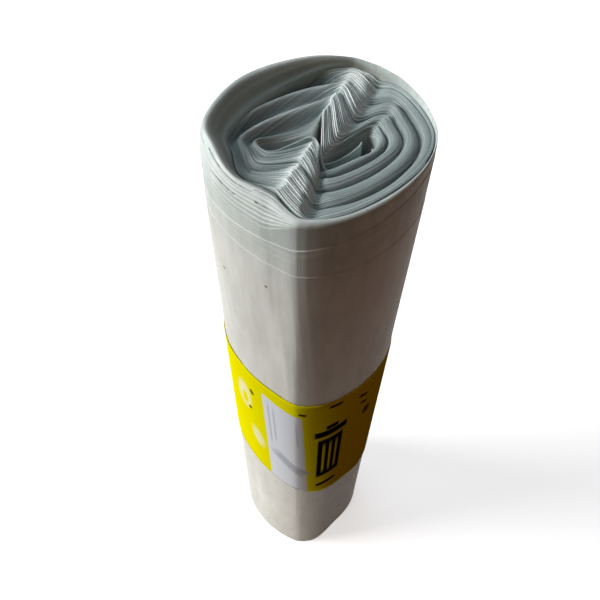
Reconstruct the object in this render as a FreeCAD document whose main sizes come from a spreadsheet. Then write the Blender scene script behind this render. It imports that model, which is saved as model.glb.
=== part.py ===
import FreeCAD, Part
import Sketcher
import math
import os

# A coreless roll of bin bags, stood on one end, with a printed band round its waist.
# Millimetres, +Z up. The origin is on the base plane, under the middle of the roll.

Vector = FreeCAD.Vector

# Driving dimensions: name, value, meaning
DIMENSIONS = [
    ("roll_length", 250.0, "height of the standing roll, the width of a folded bag"),
    ("roll_diameter", 59.0, "mean width of the roll across its outer turn"),
    ("wound_turns", 18.0, "drawn turns, each standing for several turns of film"),
    ("film_share", 0.55, "share of one turn's pitch that is film, the rest is air"),
    ("rim_share", 0.88, "how far out the slit between the turns runs before they are packed tight"),
    ("dish_depth", 3.2, "how far the inner turns have slid down, on the axis"),
    ("dish_tilt", 5.5, "lean of the slid turns, in degrees, lowest at the back left"),
    ("film_step", 0.3, "thickness of the outer bags that end below the rim"),
    ("first_edge_drop", 8.5, "from the rim down to the first bag edge"),
    ("first_edge_tilt", 9.0, "lean of the first bag edge, in degrees, lowest at the left"),
    ("second_edge_drop", 18.5, "from the rim down to the second bag edge"),
    ("band_clearance", 0.05, "air between the roll and its band"),
    ("band_thickness", 0.3, "thickness of the band's paper"),
    ("band_lap", 14.0, "length of the glued lap at the back"),
    ("band_top_left", 167.5, "height of the band's top edge at the roll's left side"),
    ("band_top_right", 158.5, "height of the band's top edge at the roll's right side"),
    ("band_foot_left", 95.0, "height of the band's lower edge at the roll's left side"),
    ("band_foot_right", 67.5, "height of the band's lower edge at the roll's right side"),
]

# The roll's plan. Its turns were wound round and then collapsed, so each has two sharp
# kinks, one at the back right and one at the front left, and the hollow left in the
# middle is shaped like an S. Each spoke runs outwards across all the turns and gives
# their place at the hollow, part of the way out (at MIDDLE_LEVEL) and at the outer turn,
# in hundredths of the roll's radius. The spokes go round counter-clockwise.
MIDDLE_LEVEL = 0.4
SPOKES = {
    "right_front": ((44, -15), (63, -19), (88, -38)),
    "right": ((50, -1), (68, -3), (99, -1)),
    "right_back": ((48, 7), (64, 17), (92, 39)),
    "shoulder": ((42, 14), (58, 33), (71, 75)),
    "back_valley": ((3, -15), (27, 24), (53, 91)),
    "back_peak": ((3, 35), (17, 65), (32, 101)),
    "back": ((-8, 17), (-8, 60), (-10, 103)),
    "back_left": ((-34, 7), (-53, 30), (-69, 72)),
    "left": ((-49, 0), (-69, 5), (-99, 9)),
    "left_front": ((-46, -7), (-64, -13), (-94, -29)),
    "front_left": ((-36, -12), (-51, -34), (-69, -67)),
    "front_peak": ((-5, -5), (-16, -34), (-39, -92)),
    "front_valley": ((2, -35), (-2, -57), (-16, -105)),
    "front": ((8, -37), (10, -59), (17, -101)),
    "front_right": ((27, -26), (39, -44), (59, -75)),
}
LAP_SPOKE = "back"

# The film is drawn in short flats: how many from one spoke to the next, for a turn and for the outline
TURN_FLATS = 3
OUTLINE_FLATS = 5


def add_sheet(doc):
    """Fill the sheet of driving dimensions and give every value its alias."""
    sheet = doc.addObject("Spreadsheet::Sheet", "Sizes")
    for row, (name, value, meaning) in enumerate(DIMENSIONS, start=1):
        sheet.set(f"A{row}", name)
        sheet.set(f"B{row}", str(value))
        sheet.setAlias(f"B{row}", name)
        sheet.set(f"C{row}", meaning)
    doc.recompute()
    return sheet


def spoke_point(spoke, level, radius):
    """Point on a spoke at a level from 0 (the hollow) to 1 (the outer turn)."""
    inner, middle, outer = spoke
    a = (level - MIDDLE_LEVEL) * (level - 1) / MIDDLE_LEVEL
    b = level * (1 - level) / (MIDDLE_LEVEL * (1 - MIDDLE_LEVEL))
    c = level * (level - MIDDLE_LEVEL) / (1 - MIDDLE_LEVEL)
    x = a * inner[0] + b * middle[0] + c * outer[0]
    y = a * inner[1] + b * middle[1] + c * outer[1]
    return Vector(x, y, 0) * (radius / 100)


def spaced(points, closed):
    """Curve parameters that grow with the square root of the chord, so that kinks don't overshoot."""
    ends = points[1:] + points[:1] if closed else points[1:]
    steps = [math.sqrt(b.distanceToPoint(a)) for a, b in zip(points, ends)]
    return [sum(steps[:i]) for i in range(len(steps) + 1)]


def flats_along(points, count, closed=False):
    """Corners of short flats along the smooth curve through some points, count flats a stretch."""
    curve = Part.BSplineCurve()
    knots = spaced(points, closed)
    curve.interpolate(Points=points, PeriodicFlag=closed, Parameters=knots)
    corners = []
    for a, b in zip(knots, knots[1:]):
        corners += [curve.value(a + (b - a) * i / count) for i in range(count)]
    return corners if closed else corners + [points[-1]]


def turn_loop(sheet, level):
    """Corners of one whole turn at a fixed level."""
    points = [spoke_point(spoke, level, sheet.roll_diameter / 2) for spoke in SPOKES.values()]
    return flats_along(points, OUTLINE_FLATS, closed=True)


def spiral(sheet, lead, length):
    """Corners along the winding for a number of turns, moved outwards by lead turns."""
    spokes = list(SPOKES.values())
    points = []
    for i in range(round(length * len(spokes)) + 1):
        level = (i / len(spokes) + lead) / sheet.wound_turns
        points.append(spoke_point(spokes[i % len(spokes)], level, sheet.roll_diameter / 2))
    return flats_along(points, TURN_FLATS)


def loop_face(outer, hole=None):
    """Flat face bounded by a loop of corners, with a hole bounded by another."""
    wires = [Part.makePolygon(outer + outer[:1])]
    if hole:
        wires.append(Part.makePolygon(hole + hole[:1]))
    return Part.Face(wires, "Part::FaceMakerBullseye")


def winding_section(sheet):
    """Plan of all the turns: the outer turn's outline less the hollow and the slit between the turns."""
    slit_length = sheet.wound_turns * sheet.rim_share - 1
    inner_side = spiral(sheet, 0, slit_length + 1)
    outer_side = spiral(sheet, sheet.film_share, slit_length)
    return loop_face(turn_loop(sheet, 1), inner_side + outer_side[::-1])


def pushed_out(corners, distance):
    """A loop of corners with each pushed outwards, away from the middle of its two neighbours' line."""
    moved = []
    for i, corner in enumerate(corners):
        along = corners[(i + 1) % len(corners)] - corners[i - 1]
        along.normalize()
        moved.append(corner + Vector(along.y, -along.x, 0) * distance)
    return moved


def band_section(sheet):
    """A ring round the outline, twice as thick where its ends are glued one over the other."""
    outline = turn_loop(sheet, 1)
    clear = sheet.band_clearance
    thick = sheet.band_thickness
    single = pushed_out(outline, clear + thick)
    double = pushed_out(outline, clear + 2 * thick)
    middle = OUTLINE_FLATS * list(SPOKES).index(LAP_SPOKE)
    flat_length = math.pi * sheet.roll_diameter / len(outline)
    half = max(1, round(sheet.band_lap / flat_length / 2))
    lap = double[middle - half : middle + half + 1]
    outside = single[: middle - half + 1] + lap + single[middle + half :]
    return loop_face(outside, pushed_out(outline, clear))


def add_section(doc, name, face):
    section = doc.addObject("Part::Feature", name)
    section.Shape = face
    return section


def add_extrusion(doc, name, section, length):
    """Straight extrusion up from the base plane, its length given as an expression."""
    solid = doc.addObject("Part::Extrusion", name)
    solid.Base = section
    solid.DirMode = "Custom"
    solid.Dir = Vector(0, 0, 1)
    solid.Solid = True
    solid.setExpression("LengthFwd", length)
    return solid


def add_leaning_block(doc, name, height, angle, axis):
    """Wide round block whose flat underside crosses the roll's axis at a height and leans by an angle."""
    block = doc.addObject("Part::Cylinder", name)
    block.Placement = FreeCAD.Placement(Vector(0, 0, 0), FreeCAD.Rotation(axis, 1))
    block.setExpression("Radius", "Sizes.roll_diameter")
    block.setExpression("Height", "Sizes.roll_diameter")
    block.setExpression("Placement.Base.z", height)
    block.setExpression("Placement.Rotation.Angle", angle)
    return block


def add_boolean(doc, kind, name, base, tool):
    result = doc.addObject(f"Part::{kind}", name)
    result.Base = base
    result.Tool = tool
    return result


def add_bag_edge(doc, sheet, name, steps, height, angle):
    """What is missing outside the roll above the edge of a bag that ends below the rim."""
    inside = pushed_out(turn_loop(sheet, 1), -steps * sheet.film_step)
    core = add_section(doc, f"{name}_core_plan", loop_face(inside))
    core = add_extrusion(doc, f"{name}_core", core, "Sizes.roll_length * 2")
    above = add_leaning_block(doc, f"{name}_above", height, angle, Vector(0, -1, 0))
    return add_boolean(doc, "Cut", f"{name}_cut", above, core)


def add_dish(doc, sheet):
    """What is missing above the inner turns, which have slid down inside the packed rim."""
    slit_clear = sheet.rim_share + (1 - sheet.film_share) / sheet.wound_turns
    plan = add_section(doc, "dish_plan", loop_face(turn_loop(sheet, slit_clear)))
    prism = add_extrusion(doc, "dish_prism", plan, "Sizes.roll_length * 2")
    height = "Sizes.roll_length - Sizes.dish_depth"
    above = add_leaning_block(doc, "dish_above", height, "Sizes.dish_tilt", Vector(-1, -1, 0))
    return add_boolean(doc, "Common", "dish_cut", above, prism)


def add_bag_roll(doc, sheet):
    """The wound bags, one continuous web of film."""
    plan = add_section(doc, "winding_plan", winding_section(sheet))
    winding = add_extrusion(doc, "winding", plan, "Sizes.roll_length")
    first = "Sizes.roll_length - Sizes.first_edge_drop"
    second = "Sizes.roll_length - Sizes.second_edge_drop"
    tools = doc.addObject("Part::MultiFuse", "rim_cuts")
    tools.Shapes = [
        add_bag_edge(doc, sheet, "first_edge", 2, first, "Sizes.first_edge_tilt"),
        add_bag_edge(doc, sheet, "second_edge", 1, second, "0"),
        add_dish(doc, sheet),
    ]
    return add_boolean(doc, "Cut", "bag_roll", winding, tools)


def corner_heights(edge):
    """Heights of a slanting edge's ends, one roll diameter left and right of the axis."""
    left, right = f"Sizes.{edge}_left", f"Sizes.{edge}_right"
    return f"(3 * {left} - {right}) / 2", f"(3 * {right} - {left}) / 2"


def place_corner(sketch, line, side, height, start):
    """Fix the start of a side-view line, drawn at start: one roll diameter off the axis, at a height."""
    origin, corner = (-1, 1), (line, 1)
    ends = (*origin, *corner) if side > 0 else (*corner, *origin)
    across = sketch.addConstraint(Sketcher.Constraint("DistanceX", *ends, abs(start.x)))
    sketch.setExpression(f"Constraints[{across}]", "Sizes.roll_diameter")
    up = sketch.addConstraint(Sketcher.Constraint("DistanceY", *origin, *corner, start.y))
    sketch.setExpression(f"Constraints[{up}]", height)


def add_band_zone(doc, sheet):
    """Slab right across the roll, its side view bounded by the band's slanting upper and lower edges."""
    body = doc.addObject("PartDesign::Body", "band_zone")
    sketch = body.newObject("Sketcher::SketchObject", "band_side_view")
    plane = next(f for f in body.Origin.OriginFeatures if f.Role == "XZ_Plane")
    sketch.AttachmentSupport = [(plane, "")]
    sketch.MapMode = "FlatFace"
    foot_left, foot_right = corner_heights("band_foot")
    top_left, top_right = corner_heights("band_top")
    corners = [(-1, foot_left), (1, foot_right), (1, top_right), (-1, top_left)]
    starts = [Vector(-1, 1, 0), Vector(1, 1, 0), Vector(1, 2, 0), Vector(-1, 2, 0)]
    starts = [start * sheet.roll_diameter for start in starts]
    for start, end in zip(starts, starts[1:] + starts[:1]):
        sketch.addGeometry(Part.LineSegment(start, end), False)
    for line in range(len(corners)):
        following = (line + 1) % len(corners)
        sketch.addConstraint(Sketcher.Constraint("Coincident", line, 2, following, 1))
    for line, (side, height) in enumerate(corners):
        place_corner(sketch, line, side, height, starts[line])
    pad = body.newObject("PartDesign::Pad", "band_slab")
    pad.Profile = sketch
    pad.Midplane = True
    pad.setExpression("Length", "Sizes.roll_diameter * 2")
    return body


def add_label_band(doc, sheet):
    """Printed paper band, wrapped a little askew round the waist and glued to itself at the back."""
    plan = add_section(doc, "band_plan", band_section(sheet))
    wrap = add_extrusion(doc, "band_wrap", plan, "Sizes.roll_length")
    return add_boolean(doc, "Common", "label_band", wrap, add_band_zone(doc, sheet))


def check_document(doc, nodes):
    """Stop with a message if any object failed or any piece isn't one valid solid."""
    failed = [o.Label for o in doc.Objects if {"Invalid", "Error"} & set(o.State)]
    if failed:
        raise RuntimeError(f"failed objects: {failed}")
    for node in nodes:
        shape = node.Shape
        if shape.isNull() or not shape.isValid() or len(shape.Solids) != 1:
            raise RuntimeError(f"{node.Label} is not one valid solid")


def main():
    doc = FreeCAD.newDocument("bin_bag_roll")
    sheet = add_sheet(doc)
    nodes = [add_bag_roll(doc, sheet), add_label_band(doc, sheet)]
    doc.recompute()
    check_document(doc, nodes)
    os.makedirs("parts", exist_ok=True)
    for node in nodes:
        node.Shape.exportStep(f"parts/{node.Label}.step")
        box = node.Shape.BoundBox
        low = (round(box.XMin, 2), round(box.YMin, 2), round(box.ZMin, 2))
        high = (round(box.XMax, 2), round(box.YMax, 2), round(box.ZMax, 2))
        print(node.Label, low, high, "mm, volume", round(node.Shape.Volume), "mm3")


main()
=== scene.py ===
import math
import bpy
import numpy as np
from mathutils import Matrix, Vector


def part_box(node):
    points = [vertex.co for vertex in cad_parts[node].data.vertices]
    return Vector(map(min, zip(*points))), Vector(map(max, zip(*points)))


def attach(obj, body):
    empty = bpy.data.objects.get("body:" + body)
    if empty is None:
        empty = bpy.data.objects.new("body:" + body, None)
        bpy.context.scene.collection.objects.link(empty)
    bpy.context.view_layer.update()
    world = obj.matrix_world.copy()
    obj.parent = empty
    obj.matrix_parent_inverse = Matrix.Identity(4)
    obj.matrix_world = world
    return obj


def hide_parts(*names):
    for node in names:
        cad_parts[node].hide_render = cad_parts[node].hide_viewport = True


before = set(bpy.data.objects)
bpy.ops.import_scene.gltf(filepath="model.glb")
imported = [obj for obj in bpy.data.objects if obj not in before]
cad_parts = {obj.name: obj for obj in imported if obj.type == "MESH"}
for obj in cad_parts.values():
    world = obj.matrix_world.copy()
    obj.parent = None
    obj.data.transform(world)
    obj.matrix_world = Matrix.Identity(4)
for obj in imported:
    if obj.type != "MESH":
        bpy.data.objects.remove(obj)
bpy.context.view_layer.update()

# Sizes, in metres. The roll's width and length come from the frame. Its radius follows from
# the plan below, which is this many radii wide.
MM = 0.001
roll_low, roll_high = (np.array(corner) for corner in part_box("bag_roll"))
WIDTH_IN_RADII = 1.988
ROLL_RADIUS = (roll_high[0] - roll_low[0]) / WIDTH_IN_RADII
ROLL_LENGTH = roll_high[2] - roll_low[2]

# The roll's plan. Each turn was wound round and then collapsed, so it has a sharp kink at
# the back right and one at the front left, round a hollow shaped like an S. Each spoke gives
# the turns' place at the hollow, part of the way out and at the outer turn, in hundredths
# of the roll's radius, going round counter-clockwise from the front right.
MIDDLE_LEVEL = 0.4
SPOKES = np.array([
    ((44, -15), (63, -19), (88, -38)),
    ((50, -1), (68, -3), (99, -1)),
    ((48, 7), (64, 17), (92, 39)),
    ((42, 14), (58, 33), (71, 75)),
    ((3, -15), (27, 24), (53, 91)),
    ((3, 35), (17, 65), (32, 101)),
    ((-8, 17), (-8, 60), (-10, 103)),
    ((-34, 7), (-53, 30), (-69, 72)),
    ((-49, 0), (-69, 5), (-99, 9)),
    ((-46, -7), (-64, -13), (-94, -29)),
    ((-36, -12), (-51, -34), (-69, -67)),
    ((-5, -5), (-16, -34), (-39, -92)),
    ((2, -35), (-2, -57), (-16, -105)),
    ((8, -37), (10, -59), (17, -101)),
    ((27, -26), (39, -44), (59, -75)),
]) * ROLL_RADIUS / 100

# Spokes by name. Each fold has a peak and a valley of the folded film.
RIGHT, SHOULDER, BACK_VALLEY, BACK_PEAK, BACK = 1, 3, 4, 5, 6
LEFT, FRONT_LEFT, FRONT_PEAK, FRONT_VALLEY, FRONT, FRONT_RIGHT = 8, 10, 11, 12, 13, 14

# Levels of the lip's highest line and of its inner edge at each spoke
CREST_LEVELS = (
    0.95, 0.97, 0.97, 0.975, 0.98, 0.965, 0.91, 0.91, 0.88, 0.80, 0.815, 0.86, 0.92, 0.925, 0.92,
)
LIP_LEVELS = (
    0.91, 0.94, 0.94, 0.945, 0.955, 0.92, 0.72, 0.56, 0.52, 0.52, 0.66, 0.80, 0.885, 0.885, 0.87,
)

# The winding as it is drawn: each drawn turn stands for a few turns of folded film. A film
# fills its turn where the layers are pressed together, and about half of it where they
# stand apart. The last turn is pressed into the lip by a part of its own thickness.
TURNS = 40
STEPS_PER_TURN = 195
PRESSED_SHARE = 0.99
APART_SHARE = 0.57
LIP_OVERLAP = 0.6

# Relief of the film's upper edge: the dish that the slid turns lie in, the bundles that the
# turns lie in, counted from the hollow to the outer turn, and the mouth of the hollow
DISH_DROP = 3.0 * MM
DISH_TILT = math.radians(5.5)
BUNDLES = 3.7
BUNDLE_DEPTH = 2.1 * MM
FUNNEL_DEPTH = 2.4 * MM

# The lip's outer side is cut into stairs, and this share of a stair is its rise
STAIRS = 9
STAIR_RISE = 0.10

# Edges of film on the wall, from the rim down: depth and step in millimetres, and how much
# of the first edge's slant each has
WALL_EDGES = ((8.5, 0.13, 1.0), (10.4, 0.02, 0.7), (13.2, 0.02, 0.4), (18.5, 0.10, 0.0))
EDGE_SLANT = math.radians(9)
FOOT_ROUNDING = 1.2 * MM

# The band's edges at the roll's left and right sides, its paper, and how many spokes' spans
# its ends lie over each other
BAND_TOP_LEFT = 167.5 * MM
BAND_TOP_RIGHT = 158.5 * MM
BAND_FOOT_LEFT = 95.0 * MM
BAND_FOOT_RIGHT = 67.5 * MM
BAND_THICKNESS = 0.2 * MM
BAND_LAP = 1.1

rng = np.random.default_rng(7)


# Curves and noise
def smooth(low, high, value):
    """0 below low, 1 above high, with a soft rise in between."""
    t = np.clip((value - low) / (high - low), 0, 1)
    return t * t * (3 - 2 * t)


def bump_at(value, centre, width):
    """A soft hump of height 1 at centre, on a circle of as many units as there are spokes."""
    count = len(SPOKES)
    away = (value - centre + count / 2) % count - count / 2
    return np.exp(-(away / width) ** 2)


def waves(values, periods, seed):
    """A sum of sines with whole numbers of periods round the roll and random phases."""
    local = np.random.default_rng(seed)
    total = np.zeros_like(values, dtype=float)
    for period in periods:
        total += np.sin(2 * np.pi * period * values / len(SPOKES) + local.uniform(0, 2 * np.pi))
    return total / math.sqrt(len(periods))


def kinks(at, width):
    """1 at the four spokes where the turns are folded sharply, 0 away from them."""
    folds = (BACK_VALLEY, BACK_PEAK, FRONT_PEAK, FRONT_VALLEY)
    return np.max([bump_at(at, fold, width) for fold in folds], axis=0)


# The roll's plan and outline
def spoke_place(spoke, level):
    """Place of spokes' turns at levels: the parabola through hollow, middle and outer points."""
    hollow, middle, outer = np.moveaxis(SPOKES[spoke % len(SPOKES)], -2, 0)
    u = level[..., None]
    m = MIDDLE_LEVEL
    near = (u - m) * (u - 1) / m
    half = u * (1 - u) / (m * (1 - m))
    far = u * (u - m) / (1 - m)
    return near * hollow + half * middle + far * outer


def plan_point(at, level):
    """Plan place at spoke coordinate at and at a level from 0, the hollow, to 1, the outer turn.

    From spoke to spoke it is a cubic with the slopes of a Catmull-Rom curve whose knots are
    spaced by the root of the chord. At the folds the slopes are shortened, which sharpens them.
    """
    at, level = np.broadcast_arrays(np.asarray(at, float), np.asarray(level, float))
    span = np.floor(at).astype(int)
    s = (at - span)[..., None]
    p0, p1, p2, p3 = (spoke_place(span + i, level) for i in (-1, 0, 1, 2))
    t1, t2, t3 = (
        np.sqrt(np.linalg.norm(b - a, axis=-1, keepdims=True)) for a, b in ((p0, p1), (p1, p2), (p2, p3))
    )
    start = ((p1 - p0) / t1 - (p2 - p0) / (t1 + t2) + (p2 - p1) / t2) * t2
    end = ((p2 - p1) / t2 - (p3 - p1) / (t2 + t3) + (p3 - p2) / t3) * t2
    softer = 0.35 + 0.35 * np.clip(level, 0, 1)
    start = start * (1 - (1 - softer) * kinks(span, 0.3))[..., None]
    end = end * (1 - (1 - softer) * kinks(span + 1, 0.3))[..., None]
    cubic, square = s ** 3, s ** 2
    ends = (2 * cubic - 3 * square + 1) * p1 + (3 * square - 2 * cubic) * p2
    return ends + (cubic - 2 * square + s) * start + (cubic - square) * end


def lean(at, height):
    """How far the outer turn at the front has moved from its place at the rim: most at the base."""
    moves = ((FRONT_VALLEY, 7.0, 0.0), (FRONT, 6.0, -0.5), (FRONT_RIGHT, -3.0, 3.0))
    total = sum(bump_at(at, spoke, 0.75)[..., None] * np.array([x, y]) for spoke, x, y in moves)
    return total * (ROLL_RADIUS / 100) * (1 - height / ROLL_LENGTH)[..., None]


def outline(at, height):
    """Plan place and outward normal of the outer turn at a height."""
    step = 0.05
    place, ahead, behind = (plan_point(at + d, 1.0) + lean(at + d, height) for d in (0, step, -step))
    along = ahead - behind
    along /= np.linalg.norm(along, axis=-1, keepdims=True)
    return place, np.stack([along[..., 1], -along[..., 0]], -1)


# The wound film and its upper edge
def make_mesh(name, grid, close_rows, close_columns, layer, end_caps=False):
    """Mesh of a grid of points, with a layer of two shading numbers a point as its UV map.

    Rows run one way over the piece and columns the other, and each may close on itself.
    """
    rows, columns = grid.shape[:2]
    row_quads = rows if close_rows else rows - 1
    column_quads = columns if close_columns else columns - 1
    i, j = np.meshgrid(np.arange(row_quads), np.arange(column_quads), indexing="ij")
    corner_rows = np.stack([i, i + 1, i + 1, i], -1).reshape(-1, 4)
    corner_columns = np.stack([j, j, j + 1, j + 1], -1).reshape(-1, 4)
    faces = (corner_rows % rows) * columns + corner_columns % columns
    mesh = bpy.data.meshes.new(name)
    polygons = faces.tolist()
    if end_caps:
        polygons.append(list(range(columns)))
        polygons.append(list(range((rows - 1) * columns, rows * columns))[::-1])
    mesh.from_pydata(grid.reshape(-1, 3), [], polygons)
    uv = mesh.uv_layers.new(name="film")
    values = np.zeros((len(mesh.loops), 2))
    values[: faces.size] = layer[corner_rows % rows, corner_columns % columns].reshape(-1, 2)
    uv.data.foreach_set("uv", values.ravel())
    mesh.polygons.foreach_set("use_smooth", np.ones(len(mesh.polygons), bool))
    mesh.update()
    piece = bpy.data.objects.new(name, mesh)
    bpy.context.collection.objects.link(piece)
    return piece


def recess(at):
    """How far the lip is a long slope down to the wound turns: 1 at the left, 0 at the right."""
    return np.exp(-np.log(bump_at(at, LEFT - 0.2, 2.0)) ** 2)


def between_spokes(values, at):
    """Smooth curve through one value for each spoke, with slopes from the neighbours' difference."""
    values = np.array(values)
    span = np.floor(at).astype(int)
    s = at - span
    v0, v1, v2, v3 = (values[(span + i) % len(values)] for i in (-1, 0, 1, 2))
    straight = v1 + (v2 - v1) * s * s * (3 - 2 * s)
    return straight + s * (1 - s) * ((v2 - v0) * (1 - s) - (v3 - v1) * s) / 2


def crest_level(at):
    """Level of the lip's highest line: near the outside, but further in at the left front."""
    return between_spokes(CREST_LEVELS, at)


def lip_level(at):
    """Level where the smooth lip of pressed outer turns begins: far in at the left."""
    return between_spokes(LIP_LEVELS, at)


def bundles(at, share):
    """0 on the ridges of the bundles that the turns lie in, 1 in the valleys between them."""
    around = 2 * np.pi * at / len(SPOKES)
    start = 0.05 + 0.2 * bump_at(at, RIGHT, 2.2) - 0.09 * np.sin(around + 1.0) - 0.06 * np.sin(3 * around)
    phase = BUNDLES * share * lip_level(at) - start
    sharp = 0.45 + 1.95 * bump_at(at, LEFT - 1, 2.0)
    return 1 - np.abs(np.cos(np.pi * phase)) ** sharp


def fold_relief(at, share):
    """How far the film's edge stands up along the folds' ridges and sinks in their valleys."""
    relief = bump_at(at, FRONT_PEAK + 0.35, 0.6) * (1.8 + 0.8 * smooth(0.45, 0.75, share))
    relief = relief + bump_at(at, BACK_PEAK - 0.35, 0.6) * 1.5
    for valley in (FRONT_VALLEY + 0.25, BACK_VALLEY - 0.25):
        relief = relief - bump_at(at, valley, 0.35) * 1.3
    return relief * MM


def edge_height(at, share, place):
    """Height of the film's upper edge: the rim, less the slid turns, the bundles and the folds' relief.

    share is how far out the turn lies between the hollow, 0, and the lip, 1.
    """
    near_lip = smooth(0.93, 1.0, share)
    down_hill = (place[..., 1] - place[..., 0]) / math.sqrt(2)
    dish = (DISH_DROP + math.tan(DISH_TILT) * down_hill) * (1 - 0.4 * near_lip * (1 - recess(at)))
    ripple = 0.5 * np.sin(4 * np.pi * at / len(SPOKES) + 9 * share)
    depth = BUNDLE_DEPTH + (ripple + bump_at(at, LEFT - 1, 1.6)) * MM
    fine_part = bump_at(at, FRONT_LEFT - 0.4, 1.4)
    bundle = depth * bundles(at, share) * (1 - 0.75 * fine_part) * (1 - 0.5 * kinks(at, 0.4))
    fold = fold_relief(at, share) * (1 - 0.5 * near_lip)
    back_walls = np.maximum(bump_at(at, BACK + 1, 1.6), bump_at(at, SHOULDER, 1.2))
    funnel = FUNNEL_DEPTH * (1 - smooth(0.0, 0.14, share)) * (0.25 + back_walls)
    height = ROLL_LENGTH - np.maximum(dish, 0.2 * MM) - bundle + fold - funnel
    return np.minimum(height, ROLL_LENGTH - 0.35 * MM)


def openness(at, share):
    """How far the layers stand apart: 1 at the folds, some at the left front and by the back fold.

    Elsewhere it is next to 0. Near the lip the front fold opens into a fan.
    """
    fine_part = 0.5 * np.maximum(bump_at(at, FRONT_LEFT - 0.4, 1.5), bump_at(at, SHOULDER - 0.3, 0.5))
    strips = np.maximum(bump_at(at, FRONT_PEAK + 0.5, 0.5), bump_at(at, BACK_VALLEY + 0.5, 0.5))
    fan = bump_at(at, FRONT_PEAK + 0.4, 0.9) * smooth(0.55, 0.8, share)
    loose = 0.03 + 0.03 * np.sin(9.0 * share + 2.1 * at)
    return np.clip(np.max([0.9 * kinks(at, 0.42), strips, fine_part, fan, loose], axis=0), 0, 1)


def wound_film():
    """The wound web as one strip: a closed section with a rounded upper edge, carried along the winding.

    t counts the turns from the hollow, and across goes through the film's thickness. The share
    of the way from the hollow to the lip is (t + across * thickness) / (TURNS - LIP_OVERLAP),
    and a point is plan(t mod 1 of the spokes, lip level * share). Its height is the film edge's
    there less the section's own depth, so turns pressed together make one smooth surface.
    Where layers stand apart the section is narrower, level on top, and its shoulders are lower.
    The UV map holds a number and the count of turns. The number is above 0 where layers stand
    apart, or on the bundles' ridges at the left, where it paints a highlight, and below 0 in the
    valleys between bundles, where it paints shade.
    """
    across = np.array([0.0, 0.0, 0.0, 0.06, 0.3, 0.7, 0.94, 1.0, 1.0, 1.0])
    crown = np.array([1.0, 1.0, 1.0, 0.2, 0.0, 0.0, 0.2, 1.0, 1.0, 1.0])
    turns = np.linspace(0, TURNS - 1, (TURNS - 1) * STEPS_PER_TURN + 1)
    at = (turns % 1) * len(SPOKES)
    apart = openness(at, turns / TURNS)[:, None]
    thickness = PRESSED_SHARE + (APART_SHARE - PRESSED_SHARE) * apart
    share = (turns[:, None] + across * thickness) / (TURNS - LIP_OVERLAP)
    spoke = np.repeat(at[:, None], len(across), 1)
    place = plan_point(spoke, share * lip_level(spoke))
    marks = np.arange(0, TURNS + 1, 0.19)
    noise = np.interp(turns, marks, rng.normal(0, 0.1 * MM, len(marks))) * (0.15 + 3.0 * apart[:, 0])
    slope = edge_height(spoke, share, place)
    crest = slope + (slope[:, 4:5] - slope) * apart + noise[:, None]
    height = np.minimum(crest, ROLL_LENGTH - 0.3 * MM) - crown * (0.03 + 1.0 * apart) * MM
    height[:, 1] = height[:, -2] = slope[:, 4] - 12 * MM
    height[:, 0] = height[:, -1] = 0.4 * MM
    grid = np.concatenate([place, height[..., None]], -1)
    valley = bundles(spoke, share)
    # pale is a painted highlight on the bundles' ridges at the left, and valley sets painted shade between
    # them
    pale = 0.5 * (1 - valley) ** 4 * bump_at(spoke, LEFT - 1, 2.0)
    layer = np.stack([apart ** 2 + (pale - valley) * (1 - apart), share * TURNS], -1)
    return make_mesh("wound_film", grid[:, ::-1], False, True, layer[:, ::-1], end_caps=True)


# Loose inner film that stands in the hollow: places in plan and how far each lies below the
# rim, in millimetres
LOOSE_FILMS = {
    "front_flap": [
        (-13.6, 0.2, 6.6), (-13.0, -0.9, 6.2), (-10.2, -2.1, 5.2), (-6.0, -0.6, 4.2), (-1.6, 0.6, 3.0),
        (0.3, -1.6, 3.6), (1.0, -5.6, 4.4), (2.0, -9.0, 4.6), (4.2, -9.3, 4.6), (8.2, -6.6, 4.6),
    ],
    "back_flap": [
        (1.6, -5.4, 6.4), (4.0, -4.9, 6.0), (7.0, -3.4, 5.2), (9.6, -2.0, 3.8), (10.6, -1.3, 2.6),
    ],
    "end_curl": [(10.4, -4.2, 4.8), (12.3, -4.0, 4.1), (13.4, -2.9, 3.8), (13.2, -1.8, 4.3)],
}


def loose_film(name, points):
    """A thin strip of film stood on edge along a curve through its places, with a rounded top.

    The curve is a cubic from place to place, with the slopes of the places' gradient.
    """
    points = np.array(points) * MM
    marks = np.arange(len(points))
    fine = np.linspace(0, len(points) - 1, 24 * len(points))
    span = np.minimum(fine.astype(int), len(points) - 2)
    s = (fine - span)[:, None]
    slopes = np.gradient(points, axis=0)
    a, b = points[span], points[span + 1]
    curve = (2 * s ** 3 - 3 * s ** 2 + 1) * a + (3 * s ** 2 - 2 * s ** 3) * b
    curve = curve + (s ** 3 - 2 * s ** 2 + s) * slopes[span] + (s ** 3 - s ** 2) * slopes[span + 1]
    along = np.gradient(curve[:, :2], axis=0)
    along /= np.linalg.norm(along, axis=1, keepdims=True)
    side = np.stack([along[:, 1], -along[:, 0]], 1)
    half, rounding, deep = 0.13 * MM, 0.25 * MM, 14 * MM
    left_side = [(-half, deep), (-half, rounding), (-half / 2, 0.0)]
    section = left_side + [(-reach, depth) for reach, depth in reversed(left_side)]
    flat = np.stack([curve[:, :2] + side * reach for reach, _ in section], 1)
    top = ROLL_LENGTH - curve[:, 2:]
    height = np.concatenate([top - depth for _, depth in section], 1)
    grid = np.concatenate([flat, height[..., None]], -1)
    layer = np.stack([np.full_like(height, 0.3), np.full_like(height, len(marks))], -1)
    return make_mesh(name, grid, False, True, layer, end_caps=True)


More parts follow.
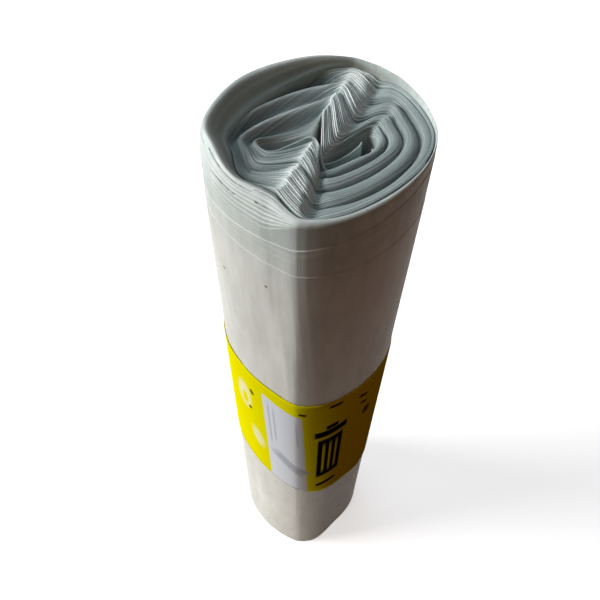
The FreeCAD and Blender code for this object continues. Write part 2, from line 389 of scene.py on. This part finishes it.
# The outer turns with the lip
def inner_slope(at, top):
    """Columns of the lip's inner side, from the wound turns up to its crest, along a hyperbola's branch."""
    inner, crest = lip_level(at), crest_level(at)
    inward = (1.9 + 3.6 * recess(at)) * MM
    columns = [(inner, 0.0, 0.4 * MM, 0.0), (inner, 0.0, top - 14 * MM, 0.0)]
    rounding = 0.3
    for share in np.linspace(1, 0.04, 22):
        fall = (math.hypot(share, rounding) - rounding) / (math.hypot(1, rounding) - rounding)
        band = 0.3 * MM * recess(at) * math.sin(16 * share) * share
        # Below 0 the count sets the painted shade on the lip's inner side, most at the left and the back
        count = -share * bump_at(at, LEFT - 0.6, 2.6)
        columns.append((crest - (crest - inner) * share, 0.0, top - inward * fall + band, count))
    return columns


def outer_stairs(at, top, left, shoulder, reach):
    """Columns of the lip's outer side: a rounded quarter, cut into stairs where left is near 1.

    At an angle from 0 at the crest to a right angle at the wall, the share of the way out is
    a power of the sine, and the fall is shoulder * (1 - cosine ** 0.8).
    """
    crest = crest_level(at)
    stairs = np.maximum(left, 0.7 * bump_at(at, FRONT_VALLEY, 1.2))
    columns = []
    for stair in range(STAIRS):
        for part in (0.0, STAIR_RISE, 0.5, 0.93):
            count = stair + min(part / STAIR_RISE, 1)
            turn = math.pi / 2 * (stair + part) / STAIRS
            tread = math.pi / 2 * count / STAIRS
            share = np.sin(turn + (tread - turn) * stairs) ** (0.8 + 0.5 * left)
            fall = shoulder * (1 - math.cos(turn) ** 0.8)
            fall = fall + 0.05 * MM * left * np.sin(1.3 * at + 2.1 * stair) * math.sin(2 * turn)
            columns.append((crest + (1 - crest) * share, reach * share, top - fall, count))
    return columns


def wall_steps(edges, reach, count):
    """Columns down the wall past each edge of film, where the wall steps outwards."""
    columns = []
    for drop, step in edges:
        height = ROLL_LENGTH - drop
        columns.append((1.0, reach, height + 0.3 * MM, count))
        columns.append((1.0, reach, height + 0.02 * MM, count))
        reach = reach + step
        count = count + 1
        columns.append((1.0, reach - 0.01 * MM, height, count - 0.3))
        columns.append((1.0, reach, height - 0.12 * MM, count))
    return columns


def wall_and_foot(at, highest, count):
    """Columns of the long wall and of the rounded foot, and back in to the wound turns."""
    columns = []
    for share in np.linspace(0, 1, 60):
        columns.append((1.0, 0.0, highest * (1 - share) + FOOT_ROUNDING * share, count))
    for turn in np.radians([25, 50, 75, 90]):
        inwards = -FOOT_ROUNDING * (1 - math.cos(turn))
        columns.append((1.0, inwards, FOOT_ROUNDING * (1 - math.sin(turn)), count))
    return columns + [(lip_level(at), 0.0, 0.0, count)]


def outer_bags():
    """The outer turns as one closed shell: an inner wall, a rounded lip, edges of film and the long wall.

    The shell's columns each have a level in the plan, a push along the outline's normal, a
    height and a count of edges. At the left front the lip's outer side reaches far down, and is
    cut into the stairs of many layers' edges. Below it the wall steps outwards at each edge.
    The UV map holds the spoke coordinate and the count of edges, which rises by 1 across each
    edge and is below 0 on the lip's inner side at the left and the back, where it sets the painted shade.
    """
    at = np.linspace(0, len(SPOKES), 480, endpoint=False)
    place, _ = outline(at, np.full_like(at, ROLL_LENGTH))
    slant = math.tan(EDGE_SLANT) * place[:, 0]
    edges = [(depth * MM - slant * ease, step * MM) for depth, step, ease in WALL_EDGES]
    first_drop, last_drop = edges[0][0], edges[-1][0]
    reach = -sum(step for _, step in edges)
    left = smooth(4 * MM, 13 * MM, -place[:, 0]) * (1 - smooth(-7 * MM, 5 * MM, place[:, 1]))
    shoulder = (1.6 + 1.6 * recess(at)) * MM * (1 - left) + 0.74 * first_drop * left
    top = ROLL_LENGTH - (0.15 + 0.25 * bump_at(at, FRONT, 3)) * MM
    columns = inner_slope(at, top)
    columns += outer_stairs(at, top, left, shoulder, reach)
    columns += wall_steps(edges, reach, STAIRS)
    columns += wall_and_foot(at, ROLL_LENGTH - last_drop - 2 * MM, STAIRS + len(edges))
    level, push, height, count = (
        np.stack([np.broadcast_to(column[i], at.shape) for column in columns], 1) for i in range(4)
    )
    spoke = np.repeat(at[:, None], level.shape[1], 1)
    outside = smooth(0.9, 1.0, level)[..., None]
    _, normal = outline(spoke, height)
    moved = lean(spoke, height) + normal * (push + wrinkle(spoke, height))[..., None]
    grid = np.concatenate([plan_point(spoke, level) + moved * outside, height[..., None]], -1)
    return make_mesh("outer_bags", grid, True, True, np.stack([spoke, count], -1))


def wrinkle(at, height):
    """Soft unevenness of the outer film: shallow upright flutes that wander a little, always inwards."""
    wander = 0.5 * np.sin(height / (38 * MM)) + 0.25 * np.sin(height / (17 * MM) + 1.0)
    flutes = waves(at + wander, (7, 11, 17), 3) * (0.6 + 0.4 * np.sin(height / (55 * MM) + at))
    fine = waves(at + 0.4 * wander, (31, 43, 58), 5)
    fade = smooth(0, 12 * MM, height)
    return (-0.16 * MM + 0.06 * MM * flutes + 0.012 * MM * fine) * fade


# The band
def label_band():
    """The paper band as one closed strip: a thin section carried round the outline past its own start.

    Both edges fall from left to right. The last stretch rides up over the first, and is glued to
    it. The UV map holds the distance along the band from the front ridge and the height, both in
    millimetres.
    """
    at = np.linspace(BACK - BAND_LAP / 2, BACK + BAND_LAP / 2 + len(SPOKES), 420)
    middle, _ = outline(at, np.full_like(at, (BAND_TOP_LEFT + BAND_FOOT_RIGHT) / 2))
    share = (middle[:, :1] - roll_low[0]) / (roll_high[0] - roll_low[0])
    foot = BAND_FOOT_LEFT + (BAND_FOOT_RIGHT - BAND_FOOT_LEFT) * share
    top = BAND_TOP_LEFT + (BAND_TOP_RIGHT - BAND_TOP_LEFT) * share
    rows = np.linspace(0, 1, 40)
    height = foot + (top - foot) * np.concatenate([rows, rows[::-1]])
    over = smooth(0.0, 0.25, at - (at[0] + len(SPOKES)))
    rise = over * (BAND_THICKNESS + 0.04 * MM) + 0.03 * MM * (1 + waves(at, (5, 9, 14), 11))
    push = rise[:, None] + BAND_THICKNESS * np.repeat([0, 1], len(rows))
    spoke = np.repeat(at[:, None], height.shape[1], 1)
    place, normal = outline(spoke, height)
    grid = np.concatenate([place + normal * push[..., None], height[..., None]], -1)
    steps = np.linalg.norm(np.diff(middle, axis=0), axis=1)
    length = np.concatenate([[0], np.cumsum(steps)])
    along = (length - np.interp(FRONT_VALLEY, at, length)) / MM
    layer = np.stack([np.repeat(along[:, None], height.shape[1], 1), height / MM], -1)
    return make_mesh("label_band_paper", grid[:, ::-1], False, True, layer[:, ::-1], end_caps=True)


# Helpers for materials
def linear(hex_colour):
    """sRGB hex colour as linear RGBA."""
    parts = [int(hex_colour[i : i + 2], 16) / 255 for i in (0, 2, 4)]
    parts = [c / 12.92 if c <= 0.04045 else ((c + 0.055) / 1.055) ** 2.4 for c in parts]
    return (*parts, 1.0)


def new_material(name):
    """An empty material and its node tree."""
    material = bpy.data.materials.new(name)
    material.use_nodes = True
    tree = material.node_tree
    tree.nodes.clear()
    return material, tree


def add(tree, kind, inputs=None, **settings):
    """Add a node, set its properties and give each input a value or a link."""
    node = tree.nodes.new(kind)
    for key, value in settings.items():
        setattr(node, key, value)
    for key, value in (inputs or {}).items():
        if isinstance(value, bpy.types.NodeSocket):
            tree.links.new(value, node.inputs[key])
        else:
            node.inputs[key].default_value = value
    return node


def mix(tree, share, low, high):
    """Blend of two colours, each a hex colour or another node's output."""
    low, high = (linear(colour) if isinstance(colour, str) else colour for colour in (low, high))
    return add(tree, "ShaderNodeMix", {0: share, 6: low, 7: high}, data_type="RGBA").outputs[2]


def ramp(tree, value, low, high, start=0.0, end=1.0):
    """start where the value is below low, end where it is above high, straight in between."""
    return add(tree, "ShaderNodeMapRange", {
        "Value": value, "From Min": low, "From Max": high, "To Min": start, "To Max": end,
    }).outputs[0]


def calculate(tree, operation, *values):
    """Result of a sum, product or other operation on numbers."""
    return add(tree, "ShaderNodeMath", dict(enumerate(values)), operation=operation).outputs[0]


def surface(tree, inputs):
    """Give the material a surface with these inputs."""
    shader = add(tree, "ShaderNodeBsdfPrincipled", inputs)
    add(tree, "ShaderNodeOutputMaterial", {"Surface": shader.outputs[0]})


def film_layer(tree):
    """The UV map that make_mesh writes, and its two numbers."""
    uv = add(tree, "ShaderNodeUVMap", uv_map="film").outputs[0]
    parts = add(tree, "ShaderNodeSeparateXYZ", {0: uv})
    return uv, parts.outputs[0], parts.outputs[1]


# Two specks of dirt on the wall, in millimetres
SPECKS = ((-24.5, -14.5, 213.7), (-12.2, -26.6, 221.7))


def cloudy_film(tree, grain, near_rim):
    """Colour of the film's body: cloudy, a warm grey-white low down and greener near the rim."""
    cloud = add(tree, "ShaderNodeTexNoise", {"Vector": grain, "Scale": 110, "Detail": 6, "Roughness": 0.65})
    share = ramp(tree, cloud.outputs[0], 0.36, 0.64)
    low = mix(tree, share, "CBCBC4", "DEDED7")
    high = mix(tree, share, "BAC3BF", "D6DEDA")
    return mix(tree, near_rim, low, high)


def with_strands(tree, colour, uv, near_rim):
    """Soft darker strands near the rim, where the layers below show through."""
    strand = add(tree, "ShaderNodeMapping", {"Vector": uv, "Scale": (0.9, 3.7, 1)}).outputs[0]
    layers = add(
        tree, "ShaderNodeTexNoise", {"Vector": strand, "Scale": 1.0, "Detail": 2}, noise_dimensions="2D",
    )
    shade = ramp(tree, layers.outputs[0], 0.3, 0.7, 0.25, 0.0)
    return mix(tree, calculate(tree, "MULTIPLY", shade, near_rim), colour, "7F8884")


def with_painted_lip_shade(tree, colour, count):
    """Painted shade on the lip's inner side, where the count of edges is below 0: a dark olive, bluer
    further in.
    """
    inside = ramp(tree, count, -0.02, -0.3, 0.0, 0.85)
    further = ramp(tree, count, -0.35, -0.75)
    return mix(tree, inside, colour, mix(tree, further, "70746A", "82918F"))


def with_painted_edge_highlights(tree, colour, count, across):
    """Painted highlights: pale lines where the count of edges lies between two whole numbers, strong at
    the roll's left, where the key light falls, and faint at its right.
    """
    part = calculate(tree, "FRACT", calculate(tree, "MAXIMUM", count, 0.0))
    edge = calculate(tree, "COMPARE", part, 0.5, 0.45)
    # The painted highlight is strongest on the left, where the key light falls
    strength = ramp(tree, across, 6 * MM, -8 * MM, 0.05, 0.4)
    return mix(tree, calculate(tree, "MULTIPLY", edge, strength), colour, "F2F4F0")


def with_specks(tree, colour, place):
    """Small specks of dirt at their places on the wall."""
    for speck in SPECKS:
        centre = tuple(part * MM for part in speck)
        away = add(tree, "ShaderNodeVectorMath", {0: place, 1: centre}, operation="DISTANCE")
        inside = ramp(tree, away.outputs["Value"], 0.65 * MM, 0.25 * MM)
        colour = mix(tree, inside, colour, "6A665E")
    return colour


def film_material():
    """Blown high-density polyethylene film, milky grey-white: a cloudy body with a soft satin sheen.

    It is greener near the rim, where many layers shine through, and warmer below. The lip's inner
    side has a painted shade of dark olive. The edges of film carry painted highlights, paler than the
    film between them and strongest at the roll's left.
    """
    material, tree = new_material("milky_hdpe_film")
    place = add(tree, "ShaderNodeTexCoord").outputs["Object"]
    parts = add(tree, "ShaderNodeSeparateXYZ", {0: place})
    grain = add(tree, "ShaderNodeMapping", {"Vector": place, "Scale": (1, 1, 0.3)}).outputs[0]
    near_rim = ramp(tree, parts.outputs[2], ROLL_LENGTH - 26 * MM, ROLL_LENGTH - 4 * MM)
    uv, _, count = film_layer(tree)
    colour = cloudy_film(tree, grain, near_rim)
    colour = with_strands(tree, colour, uv, near_rim)
    colour = with_painted_lip_shade(tree, colour, count)
    colour = with_painted_edge_highlights(tree, colour, count, parts.outputs[0])
    colour = with_specks(tree, colour, place)
    fine = add(tree, "ShaderNodeTexNoise", {"Vector": grain, "Scale": 520, "Detail": 4})
    bump = add(tree, "ShaderNodeBump", {"Height": fine.outputs[0], "Strength": 0.16, "Distance": 0.2 * MM})
    surface(tree, {
        "Base Color": colour, "Normal": bump.outputs[0], "Roughness": 0.55, "IOR": 1.5,
        "Specular IOR Level": 0.12, "Subsurface Weight": 0.3, "Subsurface Scale": 1.2 * MM,
        "Subsurface Radius": (1.0, 0.95, 0.8),
    })
    return material


def film_edge_material():
    """The same film seen on its edges: cool grey where layers are pressed, pale where they stand apart.

    Painted shade makes it darkest in the valleys between bundles, and a painted highlight makes it
    pale along the bundles' ridges at the roll's left.
    """
    material, tree = new_material("stacked_film_edges")
    _, apart, turn = film_layer(tree)
    lines = add(
        tree, "ShaderNodeTexNoise", {"W": turn, "Scale": 0.9, "Detail": 3, "Roughness": 0.6},
        noise_dimensions="1D",
    )
    share = ramp(tree, lines.outputs[0], 0.35, 0.65)
    pressed = mix(tree, share, "7E8B8A", "A5B1AF")
    single = mix(tree, share, "BAC6C2", "F0F5F2")
    # Painted shade in the valleys between bundles
    valley = ramp(tree, apart, -0.15, -0.9, 0.0, 0.45)
    surface(tree, {
        "Base Color": mix(tree, apart, mix(tree, valley, pressed, "4C5655"), single),
        "Roughness": 0.45, "IOR": 1.53, "Specular IOR Level": 0.2,
        "Subsurface Weight": 0.45, "Subsurface Scale": 1.0 * MM, "Subsurface Radius": (0.85, 1.0, 0.98),
    })
    return material


# The band's print, painted in this order: kind, ink, centre and half size in millimetres, turn
# in degrees and softness. Distances run along the band from the front ridge, heights from the floor.
YELLOW, PANEL, PALE, BLACK = "F0E800", "E4E9F1", "F4F2B8", "15130B"
BROWN, OLIVE, DARK_OLIVE, NEAR_BLACK = "7A6410", "5E5718", "4A4416", "3A3408"
BAR_GREY, LINE_GREY, PALE_GREY = "BFC5CF", "C4CAD4", "C9CFD8"
PRINT = (
    ("box", PANEL, (-4.3, 108.0), (7.9, 58.0), 2.2, 0.03),
    ("box", YELLOW, (-2.9, 163.6), (14.0, 8.0), -16.5, 0.03),
    ("box", BAR_GREY, (-3.0, 109.0), (9.6, 2.6), -50.0, 0.35),
    ("box", LINE_GREY, (-11.0, 138.0), (0.4, 15.0), 2.2, 0.4),
    ("box", LINE_GREY, (-8.9, 139.0), (0.4, 12.0), 2.2, 0.4),
    ("box", PALE_GREY, (0.2, 139.0), (0.4, 9.0), 2.2, 0.4),
    ("box", PALE_GREY, (-3.6, 84.0), (5.0, 0.9), 0.0, 0.4),
    ("box", DARK_OLIVE, (2.0, 156.6), (1.3, 0.8), -16.5, 0.3),
    ("disc", PALE, (-23.6, 145.0), (3.6, 8.5), 0.0, 0.35),
    ("disc", YELLOW, (-23.2, 143.0), (1.7, 4.2), 0.0, 0.35),
    ("disc", PALE, (-17.6, 117.0), (2.6, 6.5), 12.0, 0.5),
    ("disc", OLIVE, (-19.0, 152.5), (0.9, 1.6), 20.0, 0.4),
    ("disc", OLIVE, (-20.6, 138.6), (0.8, 1.3), -20.0, 0.4),
    ("box", BLACK, (13.0, 115.0), (5.2, 18.5), 0.0, 0.06),
    ("box", BLACK, (13.0, 138.5), (6.6, 2.4), 0.0, 0.10),
    ("box", BLACK, (13.0, 143.0), (2.4, 1.6), 0.0, 0.15),
    ("box", YELLOW, (10.3, 115.0), (0.55, 13.0), 0.0, 0.25),
    ("box", YELLOW, (13.0, 115.0), (0.55, 13.0), 0.0, 0.25),
    ("box", YELLOW, (15.7, 115.0), (0.55, 13.0), 0.0, 0.25),
    ("box", BLACK, (12.6, 87.0), (4.6, 1.5), 0.0, 0.15),
    ("box", NEAR_BLACK, (13.6, 158.5), (2.6, 0.9), -10.0, 0.3),
    ("box", BROWN, (26.4, 150.0), (2.6, 1.0), -35.0, 0.3),
    ("box", BROWN, (27.4, 143.5), (2.2, 0.9), -35.0, 0.3),
    ("disc", BROWN, (30.0, 134.0), (2.0, 3.2), 0.0, 0.4),
)


def shape(tree, place, kind, centre, size, turn, soft):
    """1 inside a disc or a box of the print, half as wide and high as size, turned by some degrees."""
    local = add(tree, "ShaderNodeMapping", {
        "Vector": place, "Location": (*centre, 0), "Rotation": (0, 0, math.radians(turn)),
        "Scale": (*size, 1),
    }, vector_type="TEXTURE").outputs[0]
    flat = add(tree, "ShaderNodeVectorMath", {0: local, 1: (1, 1, 0)}, operation="MULTIPLY").outputs[0]
    if kind == "disc":
        away = add(tree, "ShaderNodeVectorMath", {0: flat}, operation="LENGTH").outputs["Value"]
    else:
        sides = add(tree, "ShaderNodeVectorMath", {0: flat}, operation="ABSOLUTE").outputs[0]
        parts = add(tree, "ShaderNodeSeparateXYZ", {0: sides})
        away = calculate(tree, "MAXIMUM", parts.outputs[0], parts.outputs[1])
    return add(
        tree, "ShaderNodeMapRange", {"Value": away, "From Min": 1 + soft, "From Max": 1 - soft},
        interpolation_type="SMOOTHSTEP",
    ).outputs[0]


def band_material():
    """Matt paper printed in process yellow with a white panel and black marks."""
    material, tree = new_material("printed_band_paper")
    uv, _, _ = film_layer(tree)
    colour = linear(YELLOW)
    for kind, ink, centre, size, turn, soft in PRINT:
        colour = mix(tree, shape(tree, uv, kind, centre, size, turn, soft), colour, ink)
    surface(tree, {"Base Color": colour, "Roughness": 0.7, "Specular IOR Level": 0.0})
    return material


# Floor, world, lamps and camera
def seen_directly(tree):
    """1 for camera, glossy and transmission rays, 0 for the rays that carry light to a surface."""
    path = add(tree, "ShaderNodeLightPath")
    seen = path.outputs["Is Camera Ray"]
    for name in ("Is Glossy Ray", "Is Transmission Ray"):
        seen = calculate(tree, "MAXIMUM", seen, path.outputs[name])
    return seen


def floor_material():
    """Pale matt floor: white to the camera and to reflections, and a warm dim light to all else.

    Under the roll it isn't white, so the hollow stays dark when it is seen from above.
    """
    material, tree = new_material("pale_floor")
    seen = seen_directly(tree)
    place = add(tree, "ShaderNodeTexCoord").outputs["Object"]
    away = add(tree, "ShaderNodeVectorMath", {0: place}, operation="LENGTH").outputs["Value"]
    strength = ramp(tree, away, 0.7 * ROLL_RADIUS, 0.85 * ROLL_RADIUS, 0.0, 0.62)
    glow = calculate(tree, "MULTIPLY", seen, strength)
    surface(tree, {
        "Base Color": mix(tree, seen, "2E2118", "FFFFFF"), "Roughness": 0.9, "Specular IOR Level": 0.0,
        "Emission Color": linear("FFFFFF"), "Emission Strength": glow,
    })
    return material


def add_floor():
    """A square of floor round the roll, in metres."""
    half = 3.0
    corners = [(-half, -half, 0), (half, -half, 0), (half, half, 0), (-half, half, 0)]
    mesh = bpy.data.meshes.new("floor")
    mesh.from_pydata(corners, [], [(0, 1, 2, 3)])
    floor = bpy.data.objects.new("floor", mesh)
    bpy.context.collection.objects.link(floor)
    floor.data.materials.append(floor_material())


def add_lamp(name, place, target, size, power, colour):
    """A round area lamp at a place, turned to its target. Sizes in metres, power in watts."""
    lamp = bpy.data.lights.new(name, "AREA")
    lamp.shape = "DISK"
    lamp.size = size
    lamp.energy = power
    lamp.color = linear(colour)[:3]
    holder = bpy.data.objects.new(name, lamp)
    holder.location = place
    holder.rotation_euler = (Vector(target) - Vector(place)).to_track_quat("-Z", "Y").to_euler()
    bpy.context.collection.objects.link(holder)


def add_world():
    """A dim warm world that shows white to the camera and to reflections."""
    world = bpy.data.worlds.new("studio")
    world.use_nodes = True
    tree = world.node_tree
    tree.nodes.clear()
    seen = seen_directly(tree)
    colour = mix(tree, seen, "FFDDB8", "FFFFFF")
    strength = ramp(tree, seen, 0.0, 1.0, 0.04, 1.0)
    glow = add(tree, "ShaderNodeBackground", {"Color": colour, "Strength": strength})
    add(tree, "ShaderNodeOutputWorld", {"Surface": glow.outputs[0]})
    return world


def add_lights():
    """A soft key from the left, a cool top light, a weak warm fill, a low light and a dim world."""
    middle = (0, 0, ROLL_LENGTH * 0.6)
    add_lamp("key", (-1.3, -0.04, 0.75), middle, 0.7, 23.5, "FFFFFF")
    add_lamp("top", (-0.2, 0.55, 1.5), middle, 0.8, 5.5, "E2F0FF")
    add_lamp("fill", (0.4, -0.3, 0.42), middle, 0.3, 0.14, "FF9850")
    add_lamp("low", (-0.11, -0.125, 0.03), (0, 0, 0.02), 0.05, 0.06, "FFF6EA")
    bpy.context.scene.world = add_world()


# Camera: where the photograph was taken from, in millimetres and degrees
CAMERA_PLACE = (-3.5, -122.1, 351.8)
CAMERA_ELEVATION = 54.83
CAMERA_ROLL = 1.29
CAMERA_LENS = 38.42


def add_camera():
    """The camera looks along +Y and down, turned a little about its own line of sight."""
    elevation, roll = math.radians(CAMERA_ELEVATION), math.radians(CAMERA_ROLL)
    back = Vector((0, -math.cos(elevation), math.sin(elevation)))
    level_up = Vector((0, math.sin(elevation), math.cos(elevation)))
    right = math.cos(roll) * Vector((1, 0, 0)) + math.sin(roll) * level_up
    up = -math.sin(roll) * Vector((1, 0, 0)) + math.cos(roll) * level_up
    turn = Matrix((right, up, back)).transposed().to_4x4()
    data = bpy.data.cameras.new("camera")
    data.lens = CAMERA_LENS
    data.sensor_width = 36
    data.clip_start = 0.01
    camera = bpy.data.objects.new("camera", data)
    camera.matrix_world = Matrix.Translation(Vector(CAMERA_PLACE) * MM) @ turn
    bpy.context.collection.objects.link(camera)
    bpy.context.scene.camera = camera


def main():
    """Build every piece, dress it and say what it rides on and what it replaces."""
    film, edges, paper = film_material(), film_edge_material(), band_material()
    pieces = [
        (wound_film(), edges, "bag_film", "bag_roll"),
        (outer_bags(), film, "bag_film", "bag_roll"),
        (label_band(), paper, "band_paper", "label_band"),
    ]
    for name, points in LOOSE_FILMS.items():
        pieces.append((loose_film(name, points), edges, "bag_film", "bag_roll"))
    for piece, material, slot, node in pieces:
        piece.data.materials.append(material)
        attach(piece, "root")
        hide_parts(node)
    add_floor()
    add_lights()
    add_camera()
    bpy.context.scene.view_settings.view_transform = "Standard"


main()
